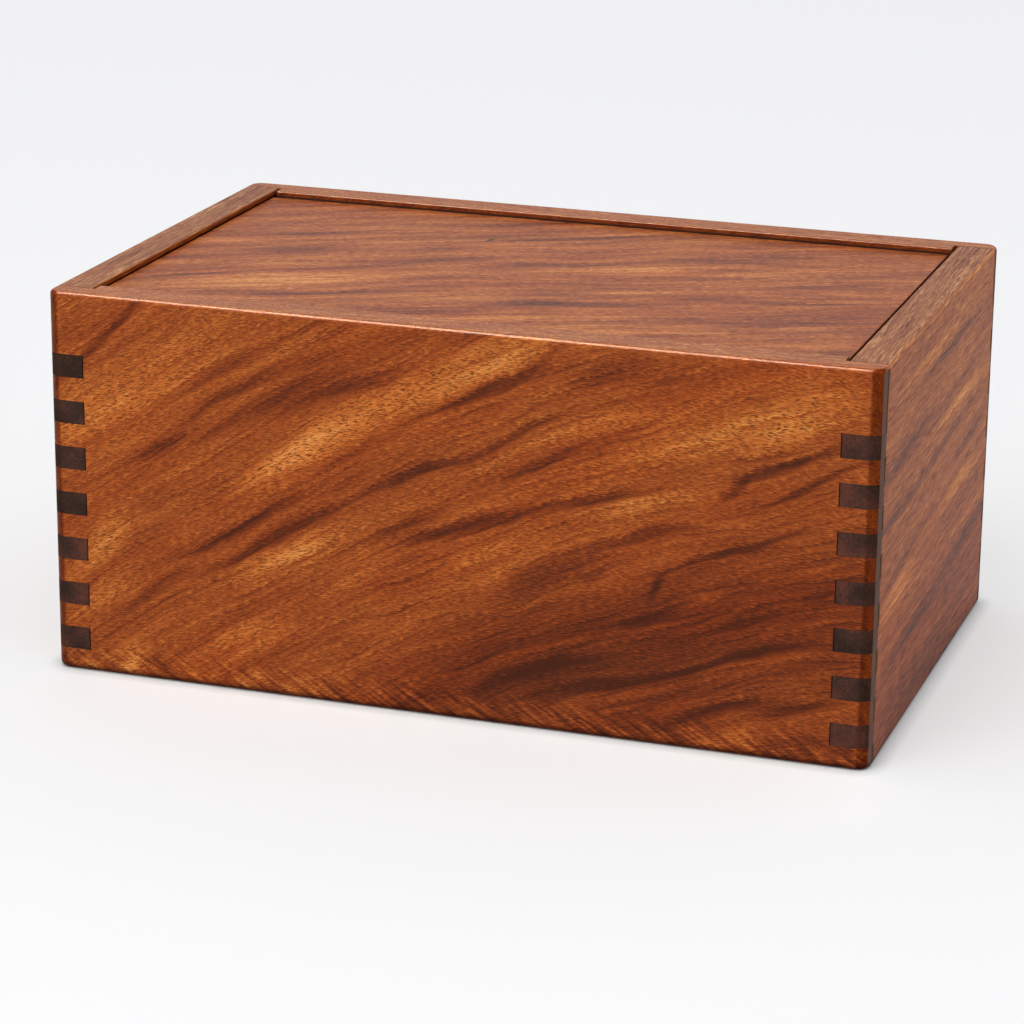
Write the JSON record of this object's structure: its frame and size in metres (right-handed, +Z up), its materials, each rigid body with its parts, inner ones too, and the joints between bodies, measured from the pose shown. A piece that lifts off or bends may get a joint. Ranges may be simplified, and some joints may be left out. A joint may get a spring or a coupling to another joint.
{
  "type": "chess box",
  "caption": "Finger-jointed hardwood box for chess pieces: a lid slides in grooves under the rim, over compartments split by a fixed divider and lined with baize.",
  "frame": {"origin": "centre of the underside, on the surface that the box stands on", "axes": "+X along the length, from the end that the lid slides out of towards the plain end; +Y from the front board to the back board; +Z up"},
  "size_m": [0.24, 0.152, 0.112],
  "materials": {
    "side_wood": "satin lacquer",
    "end_wood": "satin lacquer",
    "lid_wood": "satin lacquer",
    "inner_wood": "bare, sanded",
    "baize": "matt napped wool"
  },
  "bodies": {
    "box": {"front_board": "side_wood", "back_board": "side_wood", "left_end_board": "end_wood", "right_end_board": "end_wood", "bottom_panel": "inner_wood", "divider": "inner_wood", "floor_lining_left": "baize", "floor_lining_right": "baize", "wall_lining_left_front": "baize", "wall_lining_left_back": "baize", "wall_lining_left_end": "baize", "wall_lining_left_divider": "baize", "wall_lining_right_front": "baize", "wall_lining_right_back": "baize", "wall_lining_right_end": "baize", "wall_lining_right_divider": "baize"},
    "lid": {"lid_panel": "lid_wood", "lid_end_strip": "end_wood"}
  },
  "joints": [
    {"name": "lid_slide", "type": "slide", "parent": "box", "child": "lid", "axis": [-1, 0, 0], "range_m": [0, 0.233]}
  ]
}
